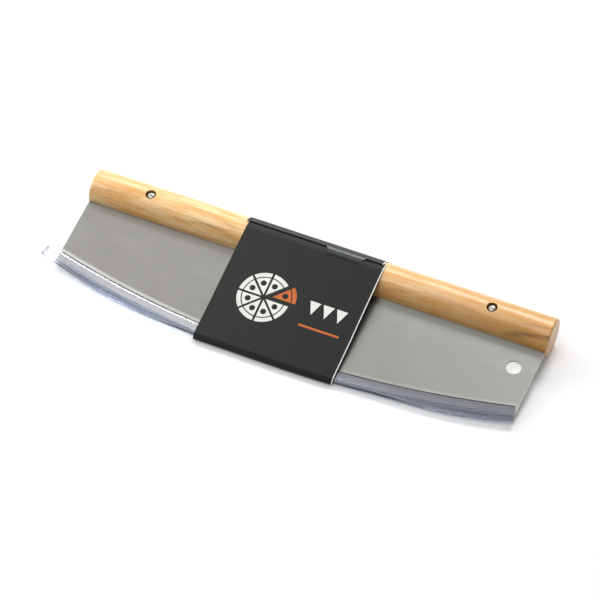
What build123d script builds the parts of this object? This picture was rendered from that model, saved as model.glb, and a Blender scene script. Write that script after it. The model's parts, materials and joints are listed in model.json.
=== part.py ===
# Rocking pizza knife, in millimetres.
# It lies on its side on the back panel of its card sleeve.
# X runs along the handle, the cutting edge faces -Y and +Z is up.
# The origin is the bottom centre of the whole object's box.
import os
from math import acos, asin, atan2, cos, degrees, hypot, radians, sin, sqrt, tan

from build123d import *

# Handle, a turned wooden bar
handle_length = 350.0
handle_radius = 13.65
handle_end_round = 1.4

# Blade, one sheet with a tang inside the handle
blade_thickness = 1.5
edge_reach = 88.3
edge_radius = 725.0
blade_end_inset = 1.1
blade_side_taper = radians(1.17)
bevel_width = 3.2
edge_land = 0.3
tang_end_inset = 10.0
tang_depth = 6.0
tang_corner_round = 3.0
shoulder_gap = 0.1
tang_side_gap = 0.05
tang_end_gap = 0.3
hang_hole_radius = 5.35
hang_hole_from_end = 16.5
hang_hole_from_handle = 18.9

# Rivets, two halves each, pressed together through the handle and the tang
rivet_from_end = 45.0
seat_depth = 3.0
head_radius = 3.7
head_rim = 0.7
dome_height = 1.5
head_gap = 0.15
barrel_radius = 2.5
barrel_end_gap = 4.6
shank_radius = 1.75
shank_end_gap = 5.6
shank_gap = 0.03
shank_tip_chamfer = 0.4
rivet_hole_gap = 0.1

# Edge guard, a slit extrusion bent along the edge
lip_overlap = 6.3
lip_wall = 0.85
bulb_wall = 0.95
bulb_offset = 1.3
slot_side_gap = 0.2
slot_end_gap = 0.4
guard_stick_out = 12.0
guard_short_of_corner = 0.3

# Card sleeve, one strip wrapped round the knife
card_thickness = 0.4
sleeve_length = 104.0
sleeve_shift = -2.55
sleeve_gap = 0.2
layer_gap = 0.08
fold_radius = 0.4
inner_end_angle = radians(74.0)
outer_edge_from_axis = 2.3
lift_angle = radians(114.0)
lift_radius = 3.0
lift_height = 0.75
front_crease_rise = 0.8
front_crease_setback = 2.3

# Tuck-in tongue of the sleeve and the slit that it goes through
tongue_centre = 19.7
tongue_root_width = 29.4
tongue_slit_width = 24.0
tongue_tip_width = 20.0
tongue_root_lap = 1.5
tongue_tip_from_axis = 12.5
slit_from_axis = 4.9
slit_length = 2.6
slit_end_gap = 0.4

# How far cutting tools run past a face
overrun = 2.0

# Places in the knife's own frame: x along the handle, y from the edge to the handle, z square to the blade
blade_half = blade_thickness / 2
shoulder_y = -(handle_radius + shoulder_gap)
side_top_x = handle_length / 2 - blade_end_inset
tang_x = handle_length / 2 - tang_end_inset
edge_centre = edge_radius - edge_reach
hang_hole = (handle_length / 2 - hang_hole_from_end, -(handle_radius + hang_hole_from_handle))
rivet_x = handle_length / 2 - rivet_from_end
rivet_places = {"left": -rivet_x, "right": rivet_x}
rivet_hole_radius = barrel_radius + rivet_hole_gap
head_seat = handle_radius - seat_depth
slot_half = blade_half + slot_side_gap
bulb_radius = slot_half + bulb_wall
bulb_reach = edge_reach + bulb_offset

# The knife leans so that the handle and the guard's bulb both rest on the back panel
axis_height = handle_radius + sleeve_gap + card_thickness
lean = asin((handle_radius - bulb_radius) / bulb_reach)
knife_place = Location((0, 0, axis_height), (degrees(lean), 0, 0))


def side_x(y):
    """Half width of the blade at a height y."""
    return side_top_x + (y - shoulder_y) * tan(blade_side_taper)


def corner_angle():
    """Angle at the edge circle's centre from the edge's middle to where a tapered side meets the circle."""
    slope = tan(blade_side_taper)
    x_at_axis = side_x(0)
    a = 1 + slope**2
    b = slope * x_at_axis - edge_centre
    c = x_at_axis**2 + edge_centre**2 - edge_radius**2
    y = (-b - sqrt(b**2 - a * c)) / a
    return atan2(side_x(y), edge_centre - y)


def rod(radius, low, high):
    """Round rod on the z axis from low to high."""
    return Pos(0, 0, low) * extrude(Circle(radius), high - low)


def make_handle():
    """Bar with rounded ends, a blind slot for the tang and two counterbored cross holes."""
    bar = Rot(0, 90, 0) * Cylinder(handle_radius, handle_length)
    bar = fillet(bar.edges().filter_by(GeomType.CIRCLE), handle_end_round)
    slot_low = -(handle_radius + overrun)
    slot_high = tang_depth + tang_end_gap
    slot = Rectangle(2 * (tang_x + tang_end_gap), slot_high - slot_low)
    slot = Pos(0, (slot_low + slot_high) / 2) * slot
    slot = fillet(slot.vertices().group_by(Axis.Y)[-1], tang_corner_round)
    bar -= extrude(slot, blade_half + tang_side_gap, both=True)
    top = handle_radius + overrun
    for x in rivet_places.values():
        bar -= Pos(x, 0, 0) * rod(rivet_hole_radius, -top, top)
        for turn in (0, 180):
            bar -= Pos(x, 0, 0) * Rot(turn, 0, 0) * rod(head_radius + head_gap, head_seat, top)
    return bar


def make_edge_grind():
    """Disc of the edge's radius, its rim ground to a land on both faces."""
    bevel_start = edge_radius - bevel_width
    land_half = edge_land / 2
    profile = Polyline(
        (0, -blade_half),
        (bevel_start, -blade_half),
        (edge_radius, -land_half),
        (edge_radius, land_half),
        (bevel_start, blade_half),
        (0, blade_half),
        close=True,
    )
    return Pos(0, edge_centre, 0) * revolve(Plane.XZ * make_face(profile), Axis.Z)


def make_blade():
    """Sheet with tang, shoulders, tapered sides, a convex edge ground on both faces, and three holes."""
    below = -(edge_reach + overrun)
    outline = Polyline(
        (-tang_x, tang_depth),
        (tang_x, tang_depth),
        (tang_x, shoulder_y),
        (side_top_x, shoulder_y),
        (side_x(below), below),
        (-side_x(below), below),
        (-side_top_x, shoulder_y),
        (-tang_x, shoulder_y),
        close=True,
    )
    sheet = make_face(outline)
    sheet = fillet(sheet.vertices().group_by(Axis.Y)[-1], tang_corner_round)
    blade = extrude(sheet, blade_half, both=True) & make_edge_grind()
    blade -= Pos(*hang_hole, 0) * rod(hang_hole_radius, -overrun, overrun)
    for x in rivet_places.values():
        blade -= Pos(x, 0, 0) * rod(rivet_hole_radius, -overrun, overrun)
    return blade


def make_rivet_head():
    """Domed head that seats in the counterbore on the +z side."""
    dome_top = head_seat + head_rim + dome_height
    dome_radius = (head_radius**2 + dome_height**2) / (2 * dome_height)
    ball = Pos(0, 0, dome_top - dome_radius) * Sphere(dome_radius)
    return rod(head_radius, head_seat, dome_top) & ball


def make_shank_half():
    """Rivet half with a solid shank, headed on the +z side."""
    shank = rod(shank_radius, shank_end_gap - head_seat, head_seat)
    shank = chamfer(shank.edges().group_by(Axis.Z)[0], shank_tip_chamfer)
    return make_rivet_head() + shank


def make_barrel_half():
    """Rivet half with a hollow barrel, headed on the -z side."""
    barrel = rod(barrel_radius, barrel_end_gap - head_seat, head_seat)
    bore = rod(shank_radius + shank_gap, barrel_end_gap - head_seat - overrun, head_seat)
    return Rot(180, 0, 0) * (make_rivet_head() + (barrel - bore))


def make_guard():
    """Slit extrusion swept along the edge's circle, from past the left corner to the right corner."""
    lip_half = slot_half + lip_wall
    lip_start = edge_radius - lip_overlap
    tip_at = lip_start + lip_wall / 2
    tip_z = slot_half + lip_wall / 2
    slot_end = edge_radius + slot_end_gap
    bulb_at = edge_radius + bulb_offset
    outline = [
        Line((slot_end, -slot_half), (slot_end, slot_half)),
        Line((slot_end, slot_half), (tip_at, slot_half)),
        ThreePointArc((tip_at, slot_half), (lip_start, tip_z), (tip_at, lip_half)),
        Line((tip_at, lip_half), (bulb_at, bulb_radius)),
        ThreePointArc((bulb_at, bulb_radius), (bulb_at + bulb_radius, 0), (bulb_at, -bulb_radius)),
        Line((bulb_at, -bulb_radius), (tip_at, -lip_half)),
        ThreePointArc((tip_at, -lip_half), (lip_start, -tip_z), (tip_at, -slot_half)),
        Line((tip_at, -slot_half), (slot_end, -slot_half)),
    ]
    left = -(corner_angle() + guard_stick_out / edge_radius)
    right = corner_angle() - guard_short_of_corner / edge_radius
    swept = revolve(Plane.XZ * make_face(Wire(outline)), Axis.Z, degrees(right - left))
    return Pos(0, edge_centre, 0) * Rot(0, 0, degrees(left) - 90) * swept


# The sleeve's section is a belt round circles, each a centre (y, z) and a radius
def tangent_normal(first, second):
    """Angle of the outward normal of the belt's straight run from one circle to the next."""
    (y1, z1), r1 = first
    (y2, z2), r2 = second
    return (atan2(z2 - z1, y2 - y1) - acos((r1 - r2) / hypot(y2 - y1, z2 - z1))) % radians(360)


def on_circle(circle, angle, extra=0.0):
    """Point of a circle grown by extra, at an angle."""
    (y, z), r = circle
    return y + (r + extra) * cos(angle), z + (r + extra) * sin(angle)


# The lift circle holds the front panel off the handle, to leave room for the tongue under it
axis_point = (0, axis_height)
bulb_point = (-bulb_reach * cos(lean), axis_height - bulb_reach * sin(lean))
wrap = (axis_point, handle_radius + sleeve_gap)
lift_reach = handle_radius + sleeve_gap + lift_height - lift_radius
lift = (on_circle((axis_point, lift_reach), lift_angle), lift_radius)
crease_y = bulb_point[0] - bulb_radius + front_crease_setback
crease_z = bulb_point[1] + bulb_radius + front_crease_rise
crease = ((crease_y, crease_z), fold_radius)
ridge = (bulb_point, bulb_radius + sleeve_gap)
inner_end = (on_circle(wrap, inner_end_angle, card_thickness), layer_gap)
belt = [wrap, lift, crease, ridge, wrap, inner_end]
panel_normal = tangent_normal(lift, crease)
facet_normal = tangent_normal(wrap, inner_end)


def on_panel(from_axis, above):
    """Point above the front panel's inner face, a distance in front of the handle's axis."""
    y, z = on_circle(lift, panel_normal, above)
    return -from_axis, z + (y + from_axis) / tan(panel_normal)


def outer_edge(above):
    """End of the outer layer, above its inner face."""
    y, z = on_circle(inner_end, facet_normal, above)
    return outer_edge_from_axis, z + (y - outer_edge_from_axis) / tan(facet_normal)


def belt_face(above):
    """One face of the strip, above its inner face: arcs round the circles and straight runs between."""
    edges = []
    arrive = inner_end_angle
    for here, after in zip(belt, belt[1:]):
        leave = tangent_normal(here, after)
        if leave < arrive:
            leave += radians(360)
        arc = [on_circle(here, angle, above) for angle in (arrive, (arrive + leave) / 2, leave)]
        end = outer_edge(above) if after is inner_end else on_circle(after, leave, above)
        edges += [ThreePointArc(*arc), Line(arc[-1], end)]
        arrive = leave
    return edges


def make_wrap():
    """The strip wrapped once round the knife, its ends overlapping on top of the handle."""
    inner_cut = Line(on_circle(wrap, inner_end_angle), on_circle(wrap, inner_end_angle, card_thickness))
    outer_cut = Line(outer_edge(0), outer_edge(card_thickness))
    section = make_face(Wire(belt_face(0) + belt_face(card_thickness) + [inner_cut, outer_cut]))
    return extrude(Plane.YZ * section, sleeve_length / 2, both=True)


def strip_outline(points):
    """Closed outline of a card strip centred on a line of points, with mitred corners."""
    headings = [atan2(z2 - z1, y2 - y1) for (y1, z1), (y2, z2) in zip(points, points[1:])]
    left, right = [], []
    for (y, z), before, after in zip(points, headings[:1] + headings, headings + headings[-1:]):
        reach = card_thickness / 2 / cos((after - before) / 2)
        across = (after + before) / 2 + radians(90)
        left.append((y + reach * cos(across), z + reach * sin(across)))
        right.append((y - reach * cos(across), z - reach * sin(across)))
    return left + right[::-1]


def make_tongue():
    """Tongue from the outer layer's edge, over the front panel and down through its slit."""
    half = card_thickness / 2
    root_y, root_z = outer_edge(half)
    lap = (root_y + tongue_root_lap * sin(facet_normal), root_z - tongue_root_lap * cos(facet_normal))
    over = card_thickness + layer_gap + half
    under = -(layer_gap + half)
    line = [
        lap,
        (root_y, root_z),
        on_panel(slit_from_axis - slit_length / 2, over),
        on_panel(slit_from_axis + slit_length / 2, under),
        on_panel(tongue_tip_from_axis, under),
    ]
    section = make_face(Polyline(*strip_outline(line), close=True))
    strip = extrude(Plane.YZ * section, tongue_root_width / 2, both=True)
    right_side = [
        (tongue_root_width / 2, handle_radius),
        (tongue_root_width / 2, outer_edge_from_axis),
        (tongue_slit_width / 2, -slit_from_axis),
        (tongue_tip_width / 2, -(tongue_tip_from_axis + overrun)),
    ]
    left_side = [(-x, y) for x, y in reversed(right_side)]
    plan = make_face(Polyline(*right_side, *left_side, close=True))
    return strip & extrude(plan, 2 * (axis_height + overrun))


def make_slit():
    """Cutter for the tongue's slit in the front panel."""
    y, z = on_panel(slit_from_axis, card_thickness / 2)
    cutter = Box(tongue_slit_width + 2 * slit_end_gap, slit_length + 2 * layer_gap, 2 * overrun)
    return Pos(0, y, z) * Rot(degrees(panel_normal) - 90, 0, 0) * cutter


def make_sleeve():
    """The wrap with its slit cut, joined to its tongue."""
    tongue_place = Pos(tongue_centre, 0, 0)
    wrapped = Pos(sleeve_shift, 0, 0) * make_wrap()
    return wrapped - tongue_place * make_slit() + tongue_place * make_tongue()


def build_parts():
    """All pieces by node name, and the move that puts the origin under the middle of the whole box."""
    pieces = {
        "handle": knife_place * make_handle(),
        "blade": knife_place * make_blade(),
        "edge_guard": knife_place * make_guard(),
        "card_sleeve": make_sleeve(),
    }
    for side, x in rivet_places.items():
        pieces[side + "_rivet_shank_half"] = knife_place * Pos(x, 0, 0) * make_shank_half()
        pieces[side + "_rivet_barrel_half"] = knife_place * Pos(x, 0, 0) * make_barrel_half()
    boxes = [piece.bounding_box() for piece in pieces.values()]
    middle_x = (min(box.min.X for box in boxes) + max(box.max.X for box in boxes)) / 2
    middle_y = (min(box.min.Y for box in boxes) + max(box.max.Y for box in boxes)) / 2
    shift = Pos(-middle_x, -middle_y, -min(box.min.Z for box in boxes))
    return {name: shift * piece for name, piece in pieces.items()}, shift


parts, shift = build_parts()
os.makedirs("parts", exist_ok=True)
for name, piece in parts.items():
    export_step(piece, "parts/" + name + ".step")
print("handle axis", (shift * Pos(0, 0, axis_height)).position)
print("lean in degrees", degrees(lean))
print("edge circle centre", (shift * knife_place * Pos(0, edge_centre, 0)).position)
print("hang hole", (shift * knife_place * Pos(*hang_hole, 0)).position)
print("blade corner angle in degrees", degrees(corner_angle()))
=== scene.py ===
# Rocking pizza knife with its edge guard and card sleeve, lying on a pale floor
import json
from math import acos, atan2, ceil, cos, degrees, hypot, pi, radians, sin, tan

import bpy
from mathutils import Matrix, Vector


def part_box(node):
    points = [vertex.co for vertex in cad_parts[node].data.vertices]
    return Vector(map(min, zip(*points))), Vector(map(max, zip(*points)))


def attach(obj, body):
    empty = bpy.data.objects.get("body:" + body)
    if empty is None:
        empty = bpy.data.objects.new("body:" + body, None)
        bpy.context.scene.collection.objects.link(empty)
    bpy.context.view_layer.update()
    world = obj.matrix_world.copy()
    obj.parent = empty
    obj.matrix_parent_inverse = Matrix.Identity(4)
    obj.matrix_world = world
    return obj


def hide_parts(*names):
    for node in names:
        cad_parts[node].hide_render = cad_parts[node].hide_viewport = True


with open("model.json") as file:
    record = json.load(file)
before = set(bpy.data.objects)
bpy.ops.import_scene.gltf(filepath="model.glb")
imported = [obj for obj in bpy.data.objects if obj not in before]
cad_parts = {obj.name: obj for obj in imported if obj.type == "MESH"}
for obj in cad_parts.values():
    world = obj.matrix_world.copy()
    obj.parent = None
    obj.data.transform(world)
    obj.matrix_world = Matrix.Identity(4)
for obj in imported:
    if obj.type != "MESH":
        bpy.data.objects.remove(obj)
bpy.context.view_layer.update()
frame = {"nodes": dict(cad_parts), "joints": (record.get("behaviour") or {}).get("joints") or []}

mm = 0.001
nodes = frame["nodes"]
scene = bpy.context.scene
scene.view_settings.view_transform = "Standard"


# Small tools
def toLinear(hexColour):
    channels = [int(hexColour[i : i + 2], 16) / 255 for i in (1, 3, 5)]
    linear = [c / 12.92 if c <= 0.04045 else ((c + 0.055) / 1.055) ** 2.4 for c in channels]
    return (*linear, 1.0)


def addNode(tree, kind, settings={}, inputs={}):
    # inputs are by name, or a list in the order in which the node shows them: constants, hex colours,
    # sockets, or nodes, which stand for their first live output
    node = tree.nodes.new("ShaderNode" + kind)
    for name, value in settings.items():
        setattr(node, name, value)
    if isinstance(inputs, dict):
        pairs = [(node.inputs[name], value) for name, value in inputs.items()]
    else:
        pairs = zip([socket for socket in node.inputs if socket.enabled], inputs)
    for socket, value in pairs:
        if isinstance(value, str):
            value = toLinear(value)
        if isinstance(value, bpy.types.Node):
            value = next(o for o in value.outputs if o.enabled)
        if isinstance(value, bpy.types.NodeSocket):
            tree.links.new(value, socket)
        else:
            socket.default_value = value
    return node


colourMix = {"data_type": "RGBA"}
colourMultiply = {"data_type": "RGBA", "blend_type": "MULTIPLY"}


def placeFrom(tree, point):
    # where the surface lies from a point of the object, in mm
    place = addNode(tree, "TexCoord").outputs["Object"]
    place = addNode(tree, "VectorMath", {"operation": "SUBTRACT"}, [place, point])
    return addNode(tree, "VectorMath", {"operation": "SCALE"}, [place, 1 / mm])


def newMaterial(name):
    material = bpy.data.materials.new(name)
    material.use_nodes = True
    material.node_tree.nodes.clear()
    return material, material.node_tree


def giveMaterial(obj, material):
    obj.data.materials.clear()
    obj.data.materials.append(material)


def makeObject(name, points, faces, smoothAngle):
    mesh = bpy.data.meshes.new(name)
    mesh.from_pydata(points, [], faces)
    mesh.validate()
    mesh.polygons.foreach_set("use_smooth", [True] * len(mesh.polygons))
    mesh.set_sharp_from_angle(angle=smoothAngle)
    obj = bpy.data.objects.new(name, mesh)
    scene.collection.objects.link(obj)
    return obj


def giveMap(obj, name, places):
    uv = obj.data.uv_layers.new(name=name)
    for loop in obj.data.loops:
        uv.data[loop.index].uv = places[loop.vertex_index]


def cutCorners(line, rounds):
    # rounds a chain of points off and keeps both ends
    for _ in range(rounds):
        cut = [line[0]]
        for (xa, ya), (xb, yb) in zip(line, line[1:]):
            cut.append((xa * 0.75 + xb * 0.25, ya * 0.75 + yb * 0.25))
            cut.append((xa * 0.25 + xb * 0.75, ya * 0.25 + yb * 0.75))
        line = cut + [line[-1]]
    return line


# Places that the pieces share, from the frame and in metres, and two shared sizes of the edge in mm
handleLow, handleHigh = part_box("handle")
axisPoint = (handleLow + handleHigh) / 2
handleRadius = (handleHigh.z - handleLow.z) / 2
guardJoint = next(j for j in frame["joints"] if j["name"] == "guard_slide")
edgeCentre = Vector(guardJoint["pos_m"])
bladeNormal = -Vector(guardJoint["axis"]).normalized()
towardHandle = bladeNormal.cross(Vector((1, 0, 0)))
edgeRadius = 725.0  # mm, of the cutting edge
lipReach = 6.7  # mm from the edge back to the guard's lips
print("frame loaded, blade leans", round(degrees(atan2(-bladeNormal.y, bladeNormal.z)), 2))

# Camera at the photo's angle
camera = {
    "azimuth": radians(24.02),
    "elevation": radians(49.1),
    "distance": 1.7535,
    "target": Vector((6.5, 2.6, 10.4)) * mm,
    "focal": 2525.0,  # in pixels of the photo
    "photoWidth": 600.0,
    "sensor": 36.0,
    "clipStart": 0.05,
}


def makeCamera(c):
    data = bpy.data.cameras.new("camera")
    data.sensor_width = c["sensor"]
    data.lens = c["sensor"] * c["focal"] / c["photoWidth"]
    data.clip_start = c["clipStart"]
    obj = bpy.data.objects.new("camera", data)
    level = cos(c["elevation"])
    back = Vector((sin(c["azimuth"]) * level, -cos(c["azimuth"]) * level, sin(c["elevation"])))
    obj.location = c["target"] + back * c["distance"]
    obj.rotation_mode = "QUATERNION"
    obj.rotation_quaternion = (-back).to_track_quat("-Z", "Y")
    scene.collection.objects.link(obj)
    scene.camera = obj


makeCamera(camera)
print("camera set")

# Studio: white paper floor, a large lamp behind, one that gleams in the guard's lip, one at the left, one
# overhead, and a weak white room
studio = {
    "floorSize": 6.0,
    "floorDrop": 0.02 * mm,
    "floorColour": "#E6E6E6",
    "floorGlow": 0.12,  # added for what the camera, metal and plastic see, so that the lit floor is white
    "farFloor": (0.45, 1.5),  # m, where the lamps' light falls off and the floor glows up to white instead
    "paintedLightSpot": (160.1, 13.9),  # mm, a painted pool of light on the floor under the blade, so that the hang hole shows white
    "paintedLightRound": (7.5, 12.0),  # mm
    "paintedLightGlow": 0.75,
    "surround": "#FFFFFF",
    "roomSide": Vector((-0.45, 0.42, 0.79)),  # where the room is brightest
    "roomLight": (0.18, 0.56),
    "roomShine": (0.5, 1.0),  # the same, as metal and plastic mirror it
    "roomShineFrom": (-0.3, 0.95),
    "lamps": {
        "backTop": {"place": (0.05, 1.6, 1.65), "size": (0.7, 0.6), "power": 29.0},
        "lipStrip": {"place": (-1.42, 2.55, 2.7), "size": (0.65, 0.55), "power": 13.0},
        "leftSide": {"place": (-1.3, 0.4, 0.75), "size": (1.4, 1.0), "power": 13.0},
        "overhead": {"place": (-0.35, -0.5, 1.9), "size": (0.9, 0.9), "power": 10.0},
    },
}


def seenRays(tree):
    path = addNode(tree, "LightPath")
    rays = path.outputs["Is Camera Ray"], path.outputs["Is Transmission Ray"]
    return addNode(tree, "Math", {"operation": "MAXIMUM"}, rays), path.outputs["Is Glossy Ray"]


def makeFloor(s):
    half = s["floorSize"] / 2
    corners = [(-half, -half), (half, -half), (half, half), (-half, half)]
    floor = makeObject("floor", [(x, y, -s["floorDrop"]) for x, y in corners], [(0, 1, 2, 3)], pi)
    material, tree = newMaterial("matt white paper floor")
    seen = addNode(tree, "Math", {"operation": "MAXIMUM"}, seenRays(tree))
    place = addNode(tree, "TexCoord").outputs["Object"]
    away = addNode(tree, "VectorMath", {"operation": "LENGTH"}, [place]).outputs["Value"]
    away = addNode(tree, "MapRange", {}, [away, *s["farFloor"], s["floorGlow"], 1.0])
    # a painted pool of light: the floor glows brighter under the hang hole
    middle = (s["paintedLightSpot"][0] * mm, s["paintedLightSpot"][1] * mm, 0.0)
    spot = addNode(tree, "VectorMath", {"operation": "DISTANCE"}, [place, middle]).outputs["Value"]
    near, far = (r * mm for r in s["paintedLightRound"])
    spot = addNode(tree, "MapRange", {}, [spot, near, far, s["paintedLightGlow"], s["floorGlow"]])
    glow = addNode(tree, "Math", {"operation": "MAXIMUM"}, [spot, away])
    glow = addNode(tree, "Math", {"operation": "MULTIPLY"}, [seen, glow])
    lit = addNode(tree, "BsdfDiffuse", {}, {"Color": s["floorColour"]})
    own = addNode(tree, "Emission", {}, {"Color": s["surround"], "Strength": glow})
    both = addNode(tree, "AddShader", {}, [lit, own])
    addNode(tree, "OutputMaterial", {}, {"Surface": both})
    giveMaterial(floor, material)


def makeRoom(s):
    world = bpy.data.worlds.new("studio")
    world.use_nodes = True
    scene.world = world
    tree = world.node_tree
    tree.nodes.clear()
    seen, shiny = seenRays(tree)
    way = addNode(tree, "TexCoord").outputs["Generated"]
    toSide = addNode(tree, "VectorMath", {"operation": "DOT_PRODUCT"}, [way, s["roomSide"]])
    toSide = toSide.outputs["Value"]
    level = addNode(tree, "MapRange", {}, [toSide, 0.0, 1.0, *s["roomLight"]])
    shine = addNode(tree, "MapRange", {}, [toSide, *s["roomShineFrom"], *s["roomShine"]])
    level = addNode(tree, "Mix", {}, [shiny, level, shine])
    level = addNode(tree, "Mix", {}, [seen, level, 1.0])
    air = addNode(tree, "Background", {}, {"Color": s["surround"], "Strength": level})
    addNode(tree, "OutputWorld", {}, {"Surface": air})


def makeLamps(s):
    for name, lamp in s["lamps"].items():
        data = bpy.data.lights.new(name, "AREA")
        data.shape = "RECTANGLE"
        data.size, data.size_y = lamp["size"]
        data.energy = lamp["power"]
        obj = bpy.data.objects.new(name, data)
        obj.location = lamp["place"]
        obj.rotation_euler = (-Vector(lamp["place"])).to_track_quat("-Z", "Y").to_euler()
        scene.collection.objects.link(obj)


makeFloor(studio)
makeRoom(studio)
makeLamps(studio)
print("studio lit")

# Handle: rubberwood, turned, sanded along the bar and oiled: pale and satin, with short pore dashes and
# soft rings
handleWood = {
    "pale": "#F7CE8E",
    "tan": "#E9A855",
    "streak": "#BC8040",
    "flake": "#FFE6B6",
    "flakeShare": (0.0, 0.6, 0.4, 0.0),  # most where the wood has no patch
    "ringPeriod": 4.2,  # mm between growth rings
    "ringShape": {"Distortion": 4.5, "Detail": 3.0, "Detail Scale": 0.16, "Detail Roughness": 0.6},
    "ringShare": (0.62, 1.0, 0.0, 0.34),
    "pithPlace": (0.0, 21.0, -34.0),  # mm from the handle's axis to the tree's heart
    "pithTilt": (0.0, 0.03, 0.06),
    # noise drawn out along the bar: length and width in mm, lowest and highest value, strength, detail
    "fibre": (26.0, 1.1, 0.3, 0.7, 1.0, 4.0),
    "patch": (34.0, 6.0, 0.38, 0.62, 1.0, 2.0),
    "pore": (4.5, 0.42, 0.6, 0.72, 0.5, 1.0),  # real pores are 0.2 mm wide, drawn wider so that they show
    "speck": (1.6, 0.7, 0.62, 0.72, 0.3, 1.0),
    "rightEndTone": "#B98028",  # browner and darker toward the right end
    "rightEndSpan": (-20.0, 160.0, 0.0, 0.7),
    "vein": "#7E5228",
    "veins": [  # brown growth lines seen from above: x and y at both ends, half width in mm, strength
        (139.0, -13.4, 173.0, -9.3, 0.8, 0.75),
        (147.0, -6.6, 176.0, -3.3, 0.6, 0.4),
        (72.0, -5.4, 118.0, -8.0, 0.7, 0.3),
        (-108.0, -11.6, -80.0, -9.4, 0.6, 0.3),
        (-96.0, -8.6, -62.0, -10.6, 0.6, 0.3),
    ],
    "veinWaver": 0.7,  # mm that a line wanders
    "veinGrow": 0.4,  # share of its length over which it darkens
    "veinEnd": 6.0,  # mm over which it fades
    "roughness": (0.36, 0.5),
    "ior": 1.48,
    "oil": (0.6, 0.3),  # how much of an oiled coat, and how rough
    "bump": (0.25, 0.12),  # strength, and depth in mm
}


def addVein(tree, w, seat, waver, vein):
    # how much of one growth line shows
    xa, ya, xb, yb, half, strength = vein
    x, y = seat.outputs["X"], seat.outputs["Y"]
    line = addNode(tree, "MapRange", {"clamp": False}, [x, xa, xb, ya, yb])
    away = addNode(tree, "Math", {"operation": "SUBTRACT"}, [y, line])
    away = addNode(tree, "Math", {"operation": "ADD"}, [away, waver])
    away = addNode(tree, "Math", {"operation": "ABSOLUTE"}, [away])
    soft = {"interpolation_type": "SMOOTHSTEP"}
    share = addNode(tree, "MapRange", soft, [away, 0.0, 2 * half, strength, 0.0])
    grown = addNode(tree, "MapRange", {}, [x, xa, xa + w["veinGrow"] * (xb - xa), 0.0, 1.0])
    faded = addNode(tree, "MapRange", {}, [x, xb, xb + w["veinEnd"], 1.0, 0.0])
    share = addNode(tree, "Math", {"operation": "MULTIPLY"}, [share, grown])
    return addNode(tree, "Math", {"operation": "MULTIPLY"}, [share, faded])


def makeWood(w):
    material, tree = newMaterial("turned rubberwood")
    place = placeFrom(tree, axisPoint)

    def alongGrain(length, width, low, high, strength, detail):
        scale = (1 / length, 1 / width, 1 / width)
        spot = addNode(tree, "Mapping", {}, {"Vector": place, "Scale": scale})
        noise = addNode(tree, "TexNoise", {}, {"Vector": spot, "Scale": 1.0, "Detail": detail})
        return addNode(tree, "MapRange", {}, [noise, low, high, 0.0, strength])

    heartwood = {"Vector": place, "Location": w["pithPlace"], "Rotation": w["pithTilt"]}
    heartwood = addNode(tree, "Mapping", {}, heartwood)
    ringScale = 2 * pi / 20 / w["ringPeriod"]  # the wave repeats every 2 pi / 20 at a scale of 1
    rings = addNode(
        tree,
        "TexWave",
        {"wave_type": "RINGS", "rings_direction": "X", "wave_profile": "SIN"},
        {"Vector": heartwood, "Scale": ringScale, **w["ringShape"]},
    )
    fibres = alongGrain(*w["fibre"])
    patches = alongGrain(*w["patch"])
    pores = alongGrain(*w["pore"])
    specks = alongGrain(*w["speck"])
    body = addNode(tree, "Mix", colourMix, [fibres, w["pale"], w["tan"]])
    ringShare = addNode(tree, "MapRange", {}, [rings, *w["ringShare"]])
    ringShare = addNode(tree, "Math", {"operation": "MULTIPLY"}, [ringShare, patches])
    body = addNode(tree, "Mix", colourMix, [ringShare, body, w["streak"]])
    flakeShare = addNode(tree, "MapRange", {}, [patches, *w["flakeShare"]])
    body = addNode(tree, "Mix", colourMix, [flakeShare, body, w["flake"]])
    seat = addNode(tree, "SeparateXYZ", {}, [place])
    # browner and darker toward the right end
    rightEndTone = addNode(tree, "MapRange", {}, [seat.outputs["X"], *w["rightEndSpan"]])
    body = addNode(tree, "Mix", colourMix, [rightEndTone, body, w["rightEndTone"]])
    waver = addNode(tree, "MapRange", {}, [fibres, 0.0, 1.0, -w["veinWaver"], w["veinWaver"]])
    for vein in w["veins"]:
        share = addVein(tree, w, seat, waver, vein)
        body = addNode(tree, "Mix", colourMix, [share, body, w["vein"]])
    body = addNode(tree, "Mix", colourMix, [pores, body, w["streak"]])
    body = addNode(tree, "Mix", colourMix, [specks, body, w["streak"]])
    rough = addNode(tree, "MapRange", {}, [fibres, 0.0, 1.0, *w["roughness"]])
    height = addNode(tree, "Math", {"operation": "SUBTRACT"}, [fibres, pores])
    strength, depth = w["bump"]
    bump = addNode(tree, "Bump", {}, {"Strength": strength, "Distance": depth * mm, "Height": height})
    coat, coatRough = w["oil"]
    skin = {"Base Color": body, "Roughness": rough, "IOR": w["ior"], "Normal": bump}
    skin = addNode(tree, "BsdfPrincipled", {}, {**skin, "Coat Weight": coat, "Coat Roughness": coatRough})
    addNode(tree, "OutputMaterial", {}, {"Surface": skin})
    return material


giveMaterial(nodes["handle"], makeWood(handleWood))
print("handle dressed")

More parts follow.
